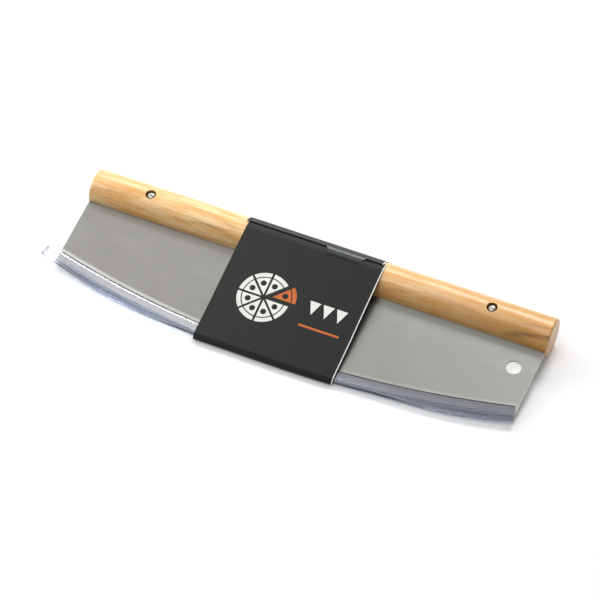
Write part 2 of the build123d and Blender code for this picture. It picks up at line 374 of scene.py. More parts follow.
# Blade: cold-rolled stainless steel, satin with a cloudy rolled skin, its edge ground across on both faces
bladeSteel = {
    "dark": "#888682",
    "light": "#8F8D89",
    "paintedReflectionTone": "#878984",  # painted reflection: the right end is tinted a little cooler and darker, as it mirrors a different part of the room
    "paintedReflectionSpan": (-90.0, 150.0, 0.0, 0.8),
    "cloud": (22.5, 9.0),  # length and width in mm
    "cloudRange": (0.2, 0.8),
    "line": (40.0, 2.0),  # rolling lines are finer, drawn as coarse as the picture can show
    "lineShare": 0.35,
    "mottleRange": (0.25, 1.1),
    "roughness": (0.285, 0.31),
    "bump": (0.04, 0.05),
    "bevel": 3.2,  # mm of ground edge
    "bevelLine": 0.1,
    "ground": "#A3A29F",
    "paintedShadeGround": "#74736F",  # painted shade: the ground edge darker toward the right, where the guard stops short of the corner
    "grindLines": 2600.0,  # round a full turn of the edge's circle
    "rubbedAndPaintedLight": "#B8B6B3",  # painted reflection: a lighter band beside the guard's lip, where its gleam shows in the steel, stronger at the left
    "paintedGleamWidth": 2.9,
    "paintedGleamFade": 0.8,
    # from left to right, how much of the painted reflection and of the lit ground edge shows
    "paintedLightSpan": (-105.0, 45.0, 1.0, 0.18),
    "paintedEdgeHighlight": "#F2F1EE",  # painted highlight on the sheet's cut sides, where they catch the light
    "edgeHighlightFrom": (168.0, 0.5),  # mm from the blade's middle, and how far a side has to face left or right
}


def makeSteel(s):
    material, tree = newMaterial("cold rolled stainless steel")
    fromCentre = placeFrom(tree, edgeCentre)
    parts = addNode(tree, "SeparateXYZ", {}, [fromCentre])
    x = parts.outputs["X"]
    reach = addNode(tree, "VectorMath", {"operation": "LENGTH"}, [fromCentre]).outputs["Value"]

    def rolledNoise(length, width):
        scale = (1 / length, 1 / width, 1 / width)
        spot = addNode(tree, "Mapping", {}, {"Vector": fromCentre, "Scale": scale})
        return addNode(tree, "TexNoise", {}, {"Vector": spot, "Scale": 1.0, "Detail": 1.0})

    clouds = rolledNoise(*s["cloud"])
    lines = rolledNoise(*s["line"])
    mottle = addNode(tree, "Math", {"operation": "MULTIPLY_ADD"}, [lines, s["lineShare"], clouds])
    mottle = addNode(tree, "MapRange", {}, [mottle, *s["mottleRange"], 0.0, 1.0])
    body = addNode(tree, "Mix", colourMix, [mottle, s["dark"], s["light"]])
    # painted reflection: cooler and darker toward the right end
    paintedReflectionTone = addNode(tree, "MapRange", {}, [x, *s["paintedReflectionSpan"]])
    body = addNode(tree, "Mix", colourMix, [paintedReflectionTone, body, s["paintedReflectionTone"]])

    # painted reflection: the lighter band beside the guard's lip, stronger at the left
    start = edgeRadius - lipReach - s["paintedGleamWidth"]
    rubbedAndPaintedLight = addNode(tree, "MapRange", {}, [reach, start, start + s["paintedGleamFade"], 0.0, 1.0])
    wornAndPaintedLight = addNode(tree, "MapRange", {}, [x, *s["paintedLightSpan"]])
    rubbedAndPaintedLight = addNode(tree, "Math", {"operation": "MULTIPLY"}, [rubbedAndPaintedLight, wornAndPaintedLight])
    body = addNode(tree, "Mix", colourMix, [rubbedAndPaintedLight, body, s["rubbedAndPaintedLight"]])

    # the ground edge, scratched square to the edge, with painted shade toward the right
    start, soft = edgeRadius - s["bevel"], s["bevelLine"]
    bevel = addNode(tree, "MapRange", {}, [reach, start - soft, start + soft, 0.0, 1.0])
    turn = addNode(tree, "Math", {"operation": "ARCTAN2"}, [x, parts.outputs["Y"]])
    turn = addNode(tree, "Math", {"operation": "MULTIPLY"}, [turn, s["grindLines"]])
    grind = addNode(tree, "TexNoise", {"noise_dimensions": "1D"}, {"W": turn, "Scale": 1.0, "Detail": 1.0})
    ground = addNode(tree, "Mix", colourMix, [wornAndPaintedLight, s["paintedShadeGround"], s["ground"]])
    ground = addNode(tree, "Mix", colourMix, [grind, body, ground])
    body = addNode(tree, "Mix", colourMix, [bevel, body, ground])

    # painted highlight on the sheet's cut sides
    sideFrom, facingFrom = s["edgeHighlightFrom"]
    facing = addNode(tree, "TexCoord").outputs["Normal"]
    facing = addNode(tree, "SeparateXYZ", {}, [facing]).outputs["X"]
    facing = addNode(tree, "Math", {"operation": "ABSOLUTE"}, [facing])
    facing = addNode(tree, "Math", {"operation": "GREATER_THAN"}, [facing, facingFrom])
    aside = addNode(tree, "Math", {"operation": "ABSOLUTE"}, [x])
    aside = addNode(tree, "Math", {"operation": "GREATER_THAN"}, [aside, sideFrom])
    paintedEdgeHighlight = addNode(tree, "Math", {"operation": "MULTIPLY"}, [facing, aside])
    body = addNode(tree, "Mix", colourMix, [paintedEdgeHighlight, body, s["paintedEdgeHighlight"]])

    rough = addNode(tree, "MapRange", {}, [clouds, *s["cloudRange"], *s["roughness"]])
    height = addNode(tree, "Mix", {}, [bevel, lines, grind])
    strength, depth = s["bump"]
    bump = addNode(tree, "Bump", {}, {"Strength": strength, "Distance": depth * mm, "Height": height})
    skin = {"Base Color": body, "Metallic": 1.0, "Roughness": rough, "Normal": bump}
    skin = addNode(tree, "BsdfPrincipled", {}, skin)
    addNode(tree, "OutputMaterial", {}, {"Surface": skin})
    return material


giveMaterial(nodes["blade"], makeSteel(bladeSteel))
print("blade dressed")

# Rivets: steel, nickel plated and barrel polished: bright, with a faint orange-peel, and painted shade and
# dark reflection at the rim
rivetPlate = {
    "colour": "#A9A59E",
    "wornAndPaintedLight": "#827E78",
    "grain": 0.4,  # mm
    "grainRange": (0.3, 0.7),
    "roughness": (0.23, 0.268),
    "bump": (0.1, 0.02),
    "rim": "#63594A",  # painted shade and dark reflection where the head meets its counterbore
    "rimFrom": (1.9, 2.7),  # mm from the rivet's axis
}


def makeNickel(r):
    material, tree = newMaterial("bright nickel plate")
    place = addNode(tree, "TexCoord").outputs["Object"]
    wear = addNode(tree, "TexNoise", {}, {"Vector": place, "Scale": 1 / (r["grain"] * mm), "Detail": 3.0})
    body = addNode(tree, "Mix", colourMix, [wear, r["colour"], r["wornAndPaintedLight"]])

    # both rivets lie as far from the handle's middle, so one distance serves for both
    low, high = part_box("right_rivet_shank_half")
    rivetX = ((low.x + high.x) / 2 - axisPoint.x) / mm
    parts = addNode(tree, "SeparateXYZ", {}, [placeFrom(tree, axisPoint)])
    side = addNode(tree, "Math", {"operation": "ABSOLUTE"}, [parts.outputs["X"]])
    side = addNode(tree, "Math", {"operation": "SUBTRACT"}, [side, rivetX])
    fromRivet = addNode(tree, "CombineXYZ", {}, [side, parts.outputs["Y"], parts.outputs["Z"]])
    across = addNode(tree, "VectorMath", {"operation": "CROSS_PRODUCT"}, [fromRivet, bladeNormal])
    reach = addNode(tree, "VectorMath", {"operation": "LENGTH"}, [across]).outputs["Value"]
    # painted shade and dark reflection toward the head's rim
    rim = addNode(tree, "MapRange", {}, [reach, *r["rimFrom"], 0.0, 1.0])
    body = addNode(tree, "Mix", colourMix, [rim, body, r["rim"]])

    rough = addNode(tree, "MapRange", {}, [wear, *r["grainRange"], *r["roughness"]])
    strength, depth = r["bump"]
    bump = addNode(tree, "Bump", {}, {"Strength": strength, "Distance": depth * mm, "Height": wear})
    skin = {"Base Color": body, "Metallic": 1.0, "Roughness": rough, "Normal": bump}
    skin = addNode(tree, "BsdfPrincipled", {}, skin)
    addNode(tree, "OutputMaterial", {}, {"Surface": skin})
    return material


nickel = makeNickel(rivetPlate)
for name, node in nodes.items():
    if "rivet" in name:
        giveMaterial(node, nickel)
print("rivets dressed")

# Edge guard: a slit strip pushed over the cutting edge; sizes in mm
guard = {
    "cornerAngle": radians(13.7892),  # from the blade's middle to each corner, about the edge's centre
    "stickOut": 12.0,  # past the left corner
    "shortOfCorner": 0.3,
    "slotEnd": 0.4,  # from the blade's edge outward
    "slotHalf": 0.95,
    "bulges": {  # the soft strip stands off the edge each side of the sleeve: from, to and how far
        "left": (48.0, 185.0, 2.6),
        "right": (68.0, 205.0, 3.4),
    },
    "bulgeFrom": (-0.3, 2.2),  # where the bulge starts to move the section, and where it moves it whole
    "section": [  # the outer face: from the edge outward, and from the blade's middle, both in mm
        (-lipReach, 1.12),
        (-6.6, 1.26),
        (-6.3, 1.32),
        (-5.7, 1.35),
        (-4.2, 1.67),
        (-3.6, 1.72),
        (-2.0, 1.76),
        (-0.8, 1.78),
        (-0.4, 1.74),
        (0.0, 1.76),
        (0.5, 1.86),
        (1.0, 1.90),
        (1.5, 1.84),
        (1.75, 1.68),
        (2.0, 1.62),
        (2.3, 1.40),
        (2.7, 1.05),
        (3.0, 0.60),
        (3.15, 0.0),
    ],
    "rounds": 2,  # times that the outer face's corners are cut
    "steps": 150,  # along the edge
    "sharpAngle": radians(40),
}


def guardProfile(g):
    # the whole section: one slot wall, the outer face from lip to bulb, and the same mirrored
    outer = cutCorners(g["section"], g["rounds"])
    side = [(g["slotEnd"], g["slotHalf"]), (outer[0][0], g["slotHalf"])] + outer
    return side + [(r, -w) for r, w in reversed(side[:-1])]


def makeGuard(g):
    profile = guardProfile(g)
    left = -(g["cornerAngle"] + g["stickOut"] / edgeRadius)
    right = g["cornerAngle"] - g["shortOfCorner"] / edgeRadius
    start, whole = g["bulgeFrom"]
    points, places = [], []
    for i in range(g["steps"] + 1):
        a = left + (right - left) * i / g["steps"]
        outward = Vector((1, 0, 0)) * sin(a) - towardHandle * cos(a)
        near, far, depth = g["bulges"]["left" if a < 0 else "right"]
        along = min(max((abs(edgeRadius * sin(a)) - near) / (far - near), 0), 1)
        bulge = depth * sin(pi * along) ** 2
        for r, w in profile:
            share = min(max((r - start) / (whole - start), 0), 1)
            reach = edgeRadius + r + bulge * share
            points.append(edgeCentre + outward * reach * mm + bladeNormal * w * mm)
            places.append((a * edgeRadius, r))
    count = len(profile)
    faces = [tuple(range(count))[::-1], tuple(range(g["steps"] * count, (g["steps"] + 1) * count))]
    for i in range(g["steps"]):
        for j in range(count):
            k = (j + 1) % count
            faces.append((i * count + j, i * count + k, (i + 1) * count + k, (i + 1) * count + j))
    obj = makeObject("clear_edge_guard", points, faces, g["sharpAngle"])
    giveMap(obj, "guardPlace", places)
    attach(obj, "guard")
    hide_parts("edge_guard")
    return obj


# Guard's plastic: soft PVC, extruded: clear and glossy, a faint blue, with die lines along the bulb that
# are partly painted shade, a painted shadow line along the lips, and painted shade and shadow on the right
# half
guardPlastic = {
    "clear": "#FAFBFE",
    "tint": "#EDEEF2",
    "deep": "#DFE5EF",
    "deepSpan": (-0.3, 0.3),  # mm past the edge, where the bulb begins
    "streak": "#868DA1",
    "streakRange": (-0.7, 0.9),
    "dieLine": 1.7,  # mm from one line to the next; real ones are finer, drawn so that they show; their dark bands are partly painted shade, the slot seen through the plastic
    "dieBend": (0.02, 1.5),  # the lines wander: noise scale, and mm
    # painted shadow: a dark line along the lips
    "lip": "#44464F",
    "lipLine": (0.7, 0.15, 0.95),  # width and fade in mm, and strength
    "rubbedAndPaintedLight": "#DBDCE1",  # painted shade: the right half is greyer, and the shadow it lets through darker
    "paintedLightSpan": (-60.0, 90.0),
    "cutEnd": "#82878F",
    "cutEndSpan": (0.4, 0.9),
    "cornerFade": 1.0,
    "haze": 0.05,
    "roughness": (0.06, 0.15),  # of the lips and of the bulb
    "ior": 1.53,
    "wave": 60.0,  # to the metre
    "bump": (0.1, 0.3),
    "shadow": "#DDE2EC",
    "shadowRight": "#A3A5A2",
}


def makePvc(p):
    material, tree = newMaterial("clear soft pvc")
    uv = addNode(tree, "UVMap", {"uv_map": "guardPlace"})
    place = addNode(tree, "SeparateXYZ", {}, [uv])
    along, across = place.outputs["X"], place.outputs["Y"]
    corner = guard["cornerAngle"] * edgeRadius
    leftEnd = -corner - guard["stickOut"]
    bendScale, bend = p["dieBend"]
    # die lines, partly painted shade: the shaded slot as seen through the plastic
    bent = addNode(tree, "TexNoise", {}, {"Vector": uv, "Scale": bendScale, "Detail": 2.0})
    lines = addNode(tree, "Math", {"operation": "MULTIPLY_ADD"}, [bent, bend, across])
    lines = addNode(tree, "Math", {"operation": "MULTIPLY"}, [lines, 2 * pi / p["dieLine"]])
    lines = addNode(tree, "Math", {"operation": "SINE"}, [lines])
    streaks = addNode(tree, "MapRange", {}, [lines, *p["streakRange"], 0.0, 1.0])
    deep = addNode(tree, "MapRange", {}, [across, *p["deepSpan"], 0.0, 1.0])
    body = addNode(tree, "Mix", colourMix, [streaks, p["deep"], p["streak"]])
    body = addNode(tree, "Mix", colourMix, [deep, p["tint"], body])
    # painted shadow: a dark line along the lips
    width, fade, strength = p["lipLine"]
    lipEnd = width - lipReach
    lip = addNode(tree, "MapRange", {}, [across, lipEnd, lipEnd + fade, strength, 0.0])
    body = addNode(tree, "Mix", colourMix, [lip, body, p["lip"]])
    # painted shade: the right half greyer
    rubbedAndPaintedLight = addNode(tree, "MapRange", {}, [along, *p["paintedLightSpan"], 0.0, 1.0])
    body = addNode(tree, "Mix", colourMultiply, [rubbedAndPaintedLight, body, p["rubbedAndPaintedLight"]])

    # past the blade's corner nothing lies in the slot, and only the cut end shows
    near, far = (leftEnd + d for d in p["cutEndSpan"])
    cutEnd = addNode(tree, "MapRange", {}, [along, near, far, 1.0, 0.0])
    clear = addNode(tree, "Mix", colourMix, [cutEnd, p["clear"], p["cutEnd"]])
    near, far = -corner - p["cornerFade"], -corner + p["cornerFade"]
    onBlade = addNode(tree, "MapRange", {}, [along, near, far, 0.0, 1.0])
    body = addNode(tree, "Mix", colourMix, [onBlade, clear, body])

    rough = addNode(tree, "MapRange", {}, [across, *p["deepSpan"], *p["roughness"]])
    place = addNode(tree, "TexCoord").outputs["Object"]
    waves = addNode(tree, "TexNoise", {}, {"Vector": place, "Scale": p["wave"], "Detail": 2.0})
    strength, depth = p["bump"]
    bump = addNode(tree, "Bump", {}, {"Strength": strength, "Distance": depth * mm, "Height": waves})
    skin = {"Base Color": body, "Roughness": rough, "IOR": p["ior"], "Normal": bump}
    skin = addNode(tree, "BsdfPrincipled", {}, {**skin, "Transmission Weight": 1 - p["haze"]})
    # painted shadow: the shadow it lets through is darker at the right
    shadow = addNode(tree, "Mix", colourMix, [rubbedAndPaintedLight, p["shadow"], p["shadowRight"]])
    through = addNode(tree, "BsdfTransparent", {}, {"Color": shadow})
    path = addNode(tree, "LightPath")
    both = addNode(tree, "MixShader", {}, [path.outputs["Is Shadow Ray"], skin, through])
    addNode(tree, "OutputMaterial", {}, {"Surface": both})
    return material


giveMaterial(makeGuard(guard), makePvc(guardPlastic))
print("edge guard made")

# Card sleeve: one die-cut strip of boxboard, wrapped round the knife and closed with a tongue; sizes in mm
sleeve = {
    "thickness": 0.4,
    "gap": 0.2,  # play round the handle and the guard
    "layerGap": 0.08,
    "foldRound": 0.4,
    "innerEnd": radians(74),  # where the strip starts on the handle, under its outer end
    "outerEdge": 2.3,  # behind the handle's axis
    "liftAngle": radians(114),  # where the front panel lifts off the handle in a soft bend
    "liftRound": 11.0,
    "liftHeight": 0.75,
    "creaseRise": 0.8,  # the front panel's crease, over the guard's bulb
    "creaseBack": 2.3,
    "bulbReach": 89.6,  # from the handle's axis
    "bulbRound": 1.9,
    "tongueMiddle": 19.7,  # right of the handle's middle
    "rootHalf": 14.7,
    "slitHalf": 12.0,
    "tipHalf": 10.0,
    "slitPlace": 3.3,  # before the handle's axis, as the tip's place is
    "slitLength": 2.3,
    "slitGap": 0.8,  # a dark line that stays open below the tongue
    "slitEndGap": 0.1,
    "tipPlace": 12.5,
    "tongueRounds": 3,
    "rowStep": 2.2,
    "rowClear": 0.35,  # least way from another row to the slit's ends
    "turnStep": radians(7),
    "columnStep": 2.0,
    "columnClear": 0.6,
    "skew": 2.0,  # the strip was wrapped a little askew, so its outer end lies further left
    "skewFrom": 0.3,  # share of the strip that lies straight
    "foldTilt": 1.2,  # the fold climbs toward the handle at the right, as the blade's edge does
    "sharpAngle": radians(35),
}


def tangentNormal(first, second):
    # direction of the outward normal of a straight run from one circle to the next
    (y1, z1), r1 = first
    (y2, z2), r2 = second
    return (atan2(z2 - z1, y2 - y1) - acos((r1 - r2) / hypot(y2 - y1, z2 - z1))) % (2 * pi)


def onCircle(circle, angle):
    (y, z), r = circle
    return y + r * cos(angle), z + r * sin(angle)


def sleeveRuns(s):
    # the strip's inner face, as arcs and straight runs in the plane across the handle
    axis = (0.0, axisPoint.z / mm)
    radius = handleRadius / mm + s["gap"]
    bulb = (-s["bulbReach"] * towardHandle.y, axis[1] - s["bulbReach"] * towardHandle.z)
    wrap = (axis, radius)
    lift = (onCircle((axis, radius + s["liftHeight"] - s["liftRound"]), s["liftAngle"]), s["liftRound"])
    crease = (bulb[0] - s["bulbRound"] + s["creaseBack"], bulb[1] + s["bulbRound"] + s["creaseRise"])
    crease = (crease, s["foldRound"])
    ridge = (bulb, s["bulbRound"] + s["gap"])
    innerEnd = (onCircle((axis, radius + s["thickness"]), s["innerEnd"]), s["layerGap"])
    belt = [wrap, lift, crease, ridge, wrap, innerEnd]
    runs = []
    arrive = s["innerEnd"]
    for here, after in zip(belt, belt[1:]):
        leave = tangentNormal(here, after)
        while leave < arrive:
            leave += 2 * pi
        start, end = onCircle(here, leave), onCircle(after, leave)
        if after is innerEnd:
            end = (s["outerEdge"], end[1] + (end[0] - s["outerEdge"]) / tan(leave))
        runs.append(("arc", here, arrive, leave))
        runs.append(("line", start, end, leave))
        arrive = leave
    return runs


def sleeveRows(s):
    # (y, z, normal angle, way along the strip) at each row of the mesh
    rows = []
    way = 0.0
    for kind, first, second, third in sleeveRuns(s):
        if kind == "arc":
            length = (third - second) * (first[1] + s["thickness"] / 2)
            steps = max(1, ceil((third - second) / s["turnStep"]))
            for i in range(steps):
                angle = second + (third - second) * i / steps
                rows.append((*onCircle(first, angle), angle, way + length * i / steps))
        else:
            length = hypot(second[0] - first[0], second[1] - first[1])
            steps = max(1, ceil(length / s["rowStep"]))
            for i in range(steps):
                share = i / steps
                y, z = (a + (b - a) * share for a, b in zip(first, second))
                rows.append((y, z, third, way + length * share))
        way += length
    return rows + [(*second, third, way)]  # the end of the last run, a straight one


def rowAt(rows, way):
    for before, after in zip(rows, rows[1:]):
        if before[3] <= way <= after[3]:
            share = (way - before[3]) / (after[3] - before[3])
            return tuple(a + (b - a) * share for a, b in zip(before, after))


def withExact(values, exact, clearance):
    # values, with the exact ones put in and their close neighbours left out
    kept = [v for v in values if all(abs(v - e) > clearance for e in exact)]
    return sorted(kept + list(exact))


def tongueRows(s, rows):
    # the tongue bends down from the outer edge, over the panel and through its slit
    y, z, _, way = rows[-1]

    def overPanel(beforeAxis, above):
        top = next(r for r in rows if r[0] < -beforeAxis)
        y, z = top[0] + above * cos(top[2]), top[1] + above * sin(top[2])
        return -beforeAxis, z + (y + beforeAxis) / tan(top[2])

    over = s["thickness"] + s["layerGap"]
    under = -(s["layerGap"] + s["thickness"])
    slitStart, slitEnd = s["slitPlace"] - s["slitLength"] / 2, s["slitPlace"] + s["slitLength"] / 2
    line = [
        (y, z),
        overPanel(slitStart, over),
        overPanel(slitEnd - s["slitGap"], under),
        overPanel(s["tipPlace"], under),
    ]
    line = cutCorners(line, s["tongueRounds"])
    made = []
    for before, here in zip(line, line[1:]):
        way += hypot(here[0] - before[0], here[1] - before[1])
        heading = atan2(here[1] - before[1], here[0] - before[0])
        made.append((*here, (heading - pi / 2) % (2 * pi), way))
    return made


def sleevePlan(s):
    # the strip's rows and columns, with the slit and the tongue's root among them
    low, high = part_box("card_sleeve")
    left, right = (low.x - axisPoint.x) / mm, (high.x - axisPoint.x) / mm
    rows = sleeveRows(s)
    middle = next(r for r in rows if r[0] < -s["slitPlace"])
    middle = middle[3] + middle[0] + s["slitPlace"]
    slit = [middle - s["slitLength"] / 2, middle + s["slitLength"] / 2]
    rows = [rowAt(rows, way) for way in withExact([r[3] for r in rows], slit, s["rowClear"])]
    slitX = [s["tongueMiddle"] + side * (s["slitHalf"] + s["slitEndGap"]) for side in (-1, 1)]
    rootX = [s["tongueMiddle"] + s["skew"] + side * s["rootHalf"] for side in (-1, 1)]
    steps = ceil((right - left) / s["columnStep"])
    even = [left + (right - left) * i / steps for i in range(steps + 1)]
    columns = [left] + withExact(even[1:-1], slitX + rootX, s["columnClear"]) + [right]
    return {
        "rows": rows + tongueRows(s, rows),
        "wrapRows": len(rows),
        "columns": columns,
        "slit": slit,
        "slitMiddle": middle,
        "slitX": slitX,
        "rootX": rootX,
    }


def tongueHalf(s, y):
    # half the tongue's width at y
    marks = [
        (s["outerEdge"], s["rootHalf"]),
        (-s["slitPlace"], s["slitHalf"]),
        (-s["tipPlace"], s["tipHalf"]),
    ]
    for (ya, wa), (yb, wb) in zip(marks, marks[1:]):
        if y >= yb:
            return wa + (wb - wa) * min(max((ya - y) / (ya - yb), 0), 1)
    return marks[-1][1]


def sleevePoints(s, plan):
    # the card's outer face and then its inner one, and where each point lies on the flat strip
    rows, columns = plan["rows"], plan["columns"]
    rootMiddle = s["tongueMiddle"] + s["skew"]
    total = rows[plan["wrapRows"] - 1][3]
    points, places = [], []
    for layer in (s["thickness"], 0.0):
        for i, (y, z, angle, way) in enumerate(rows):
            askew = s["skew"] * min(max(0.0, way / total - s["skewFrom"]) / (1 - s["skewFrom"]), 1.0)
            for x in columns:
                across = x
                if i >= plan["wrapRows"]:
                    across = rootMiddle + (x - rootMiddle) * tongueHalf(s, y) / s["rootHalf"]
                rise = max(0.0, x / columns[-1]) ** 2 * max(0.0, -y / s["bulbReach"]) ** 3
                y1 = y + s["foldTilt"] * rise + layer * cos(angle)
                point = Vector((across - askew, y1, z + layer * sin(angle))) * mm
                points.append(point + Vector((axisPoint.x, axisPoint.y, 0)))
                places.append((x - columns[0], way - plan["slitMiddle"]))
    return points, places


cardSides = {"print": 0, "back": 1, "cut": 2, "tongue": 3}  # the materials' order on the sleeve


def sleeveFaces(plan):
    rows, columns, lastWrap = plan["rows"], plan["columns"], plan["wrapRows"] - 1
    width = len(columns)
    count = len(rows) * width

    def isKept(i, j):
        if not (0 <= i < len(rows) - 1 and 0 <= j < width - 1):
            return False
        x = (columns[j] + columns[j + 1]) / 2
        way = (rows[i][3] + rows[i + 1][3]) / 2
        if i >= lastWrap:
            return plan["rootX"][0] < x < plan["rootX"][1]
        return not (plan["slit"][0] < way < plan["slit"][1] and plan["slitX"][0] < x < plan["slitX"][1])

    faces, sides = [], []
    for i in range(len(rows) - 1):
        for j in range(width - 1):
            if not isKept(i, j):
                continue
            a, b = i * width + j, i * width + j + 1
            c, d = b + width, a + width
            faces.append((a, b, c, d))
            faces.append((d + count, c + count, b + count, a + count))
            sides += ["tongue" if i >= lastWrap else "print", "back"]
            # edges: white where the strip was cut at its sides, inked where tongue and slit were
            for other, p, q, side in (
                ((i - 1, j), b, a, "print"),
                ((i, j + 1), c, b, "cut" if j == width - 2 else "print"),
                ((i + 1, j), d, c, "print"),
                ((i, j - 1), a, d, "cut" if j == 0 else "print"),
            ):
                if not isKept(*other):
                    faces.append((p, q, q + count, p + count))
                    sides.append(side)
    return faces, sides


def makeSleeve(s):
    plan = sleevePlan(s)
    points, places = sleevePoints(s, plan)
    faces, sides = sleeveFaces(plan)
    obj = makeObject("printed_card_sleeve", points, faces, s["sharpAngle"])
    obj.data.polygons.foreach_set("material_index", [cardSides[side] for side in sides])
    giveMap(obj, "stripPlace", places)
    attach(obj, "sleeve")
    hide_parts("card_sleeve")
    return obj


# Print on the sleeve: litho ink, matt varnished: black-green, a little worn and flecked, painted lighter
# toward the left edge and with a painted sheen on the outer lap, with a generic cut pizza, small slices and
# a rule in flat white and orange
printing = {
    "ink": "#151815",
    # worn ink, also the colour of the painted lighter left side
    "inkWornAndLit": "#202320",
    "cloud": 0.06,  # noise scales, to the mm
    "fine": 1.6,
    "paintedLeftLightSpan": (0.0, 104.0, 0.3, -0.25),  # painted light: lighter toward the left edge
    "wornAndLitRange": (0.3, 0.8),
    "paintedFlapSheen": "#2E322F",  # painted sheen on the outer lap, where it faces up
    "flapFrom": (2.0, 2.6),  # mm behind the handle's axis
    "fleck": "#6A6C68",
    "fleckRange": (0.66, 0.74, 0.0, 0.4),
    "roughness": (0.3, 0.7, 0.5, 0.62),  # range of the cloud, and of the roughness
    "ior": 1.5,
    "shine": 0.2,
    "bump": (0.12, 0.05),
    "white": "#E2E2DE",
    "orange": "#C5672F",
    "edge": 103.3,  # mm from the left cut edge to where the ink ends at the right one
    "wheel": (34.0, 47.0),  # mm from the left cut edge and from the tongue's slit
    "wheelRadius": 19.0,
    "wheelParts": 8,
    "cut": 0.8,
    "crust": 3.4,
    "crumb": (0.58, 2.1),  # share of the radius, and mm
    "pulled": (3.9, -1.6),  # the slice that is drawn out of the wheel
    "wedges": (65.0, 95.0, 10.0),  # a row of small slices: first and last edge, and how far apart
    "wedgeTop": 38.0,
    "wedgeHeight": 12.5,
    "wedgeGap": 0.9,
    "rule": (65.0, 95.0, 57.0, 58.6),
}


def wheelMask(tree, p, u, v, pull):
    # where a disc cut in slices is printed, moved by pull, and where its slice that is drawn out lies
    half = pi / p["wheelParts"]
    du = addNode(tree, "Math", {"operation": "SUBTRACT"}, [u, p["wheel"][0] + pull[0]])
    dv = addNode(tree, "Math", {"operation": "SUBTRACT"}, [v, p["wheel"][1] + pull[1]])
    offset = addNode(tree, "CombineXYZ", {}, [du, dv, 0.0])
    reach = addNode(tree, "VectorMath", {"operation": "LENGTH"}, [offset]).outputs["Value"]
    turn = addNode(tree, "Math", {"operation": "ARCTAN2"}, [dv, du])
    fold = addNode(tree, "Math", {"operation": "PINGPONG"}, [turn, half])

    # a disc without its cuts and the line inside its crust
    away = addNode(tree, "Math", {"operation": "SINE"}, [fold])
    away = addNode(tree, "Math", {"operation": "MULTIPLY"}, [away, reach])
    inDisc = addNode(tree, "Math", {"operation": "LESS_THAN"}, [reach, p["wheelRadius"]])
    offCut = addNode(tree, "Math", {"operation": "GREATER_THAN"}, [away, p["cut"]])
    crust = addNode(tree, "Math", {"operation": "SUBTRACT"}, [reach, p["wheelRadius"] - p["crust"]])
    crust = addNode(tree, "Math", {"operation": "ABSOLUTE"}, [crust])
    crust = addNode(tree, "Math", {"operation": "GREATER_THAN"}, [crust, p["cut"] / 2])

    # a round gap in the middle of each slice
    fromMiddle = addNode(tree, "Math", {"operation": "SUBTRACT"}, [half, fold])
    alongSlice = addNode(tree, "Math", {"operation": "COSINE"}, [fromMiddle])
    alongSlice = addNode(tree, "Math", {"operation": "MULTIPLY"}, [alongSlice, reach])
    acrossSlice = addNode(tree, "Math", {"operation": "SINE"}, [fromMiddle])
    acrossSlice = addNode(tree, "Math", {"operation": "MULTIPLY"}, [acrossSlice, reach])
    inSlice = addNode(tree, "CombineXYZ", {}, [alongSlice, acrossSlice, 0.0])
    share, gapRadius = p["crumb"]
    crumb = (share * p["wheelRadius"], 0.0, 0.0)
    crumb = addNode(tree, "VectorMath", {"operation": "DISTANCE"}, [inSlice, crumb]).outputs["Value"]
    crumb = addNode(tree, "Math", {"operation": "GREATER_THAN"}, [crumb, gapRadius])

    shape = inDisc
    for mask in (offCut, crust, crumb):
        shape = addNode(tree, "Math", {"operation": "MULTIPLY"}, [shape, mask])
    off = addNode(tree, "Math", {"operation": "SUBTRACT"}, [turn, atan2(p["pulled"][1], p["pulled"][0])])
    off = addNode(tree, "Math", {"operation": "ABSOLUTE"}, [off])
    return shape, addNode(tree, "Math", {"operation": "LESS_THAN"}, [off, half])


def wedgeMask(tree, p, u, v):
    # a row of small slices, points toward the fold
    first, last, period = p["wedges"]
    fromFirst = addNode(tree, "Math", {"operation": "SUBTRACT"}, [u, first])
    fromTip = addNode(tree, "Math", {"operation": "PINGPONG"}, [fromFirst, period / 2])
    down = addNode(tree, "Math", {"operation": "SUBTRACT"}, [v, p["wedgeTop"]])
    slope = 0.5 * period / p["wedgeHeight"]
    slant = addNode(tree, "Math", {"operation": "MULTIPLY_ADD"}, [down, slope, p["wedgeGap"]])
    inWedge = addNode(tree, "Math", {"operation": "GREATER_THAN"}, [fromTip, slant])
    below = addNode(tree, "Math", {"operation": "GREATER_THAN"}, [down, 0.0])
    after = addNode(tree, "Math", {"operation": "GREATER_THAN"}, [fromFirst, 0.0])
    before = addNode(tree, "Math", {"operation": "LESS_THAN"}, [fromFirst, last - first])
    for mask in (below, after, before):
        inWedge = addNode(tree, "Math", {"operation": "MULTIPLY"}, [inWedge, mask])
    return inWedge


def ruleMask(tree, p, u, v):
    uStart, uEnd, vStart, vEnd = p["rule"]
    along = addNode(tree, "Math", {"operation": "COMPARE"}, [u, (uStart + uEnd) / 2, (uEnd - uStart) / 2])
    down = addNode(tree, "Math", {"operation": "COMPARE"}, [v, (vStart + vEnd) / 2, (vEnd - vStart) / 2])
    return addNode(tree, "Math", {"operation": "MULTIPLY"}, [along, down])


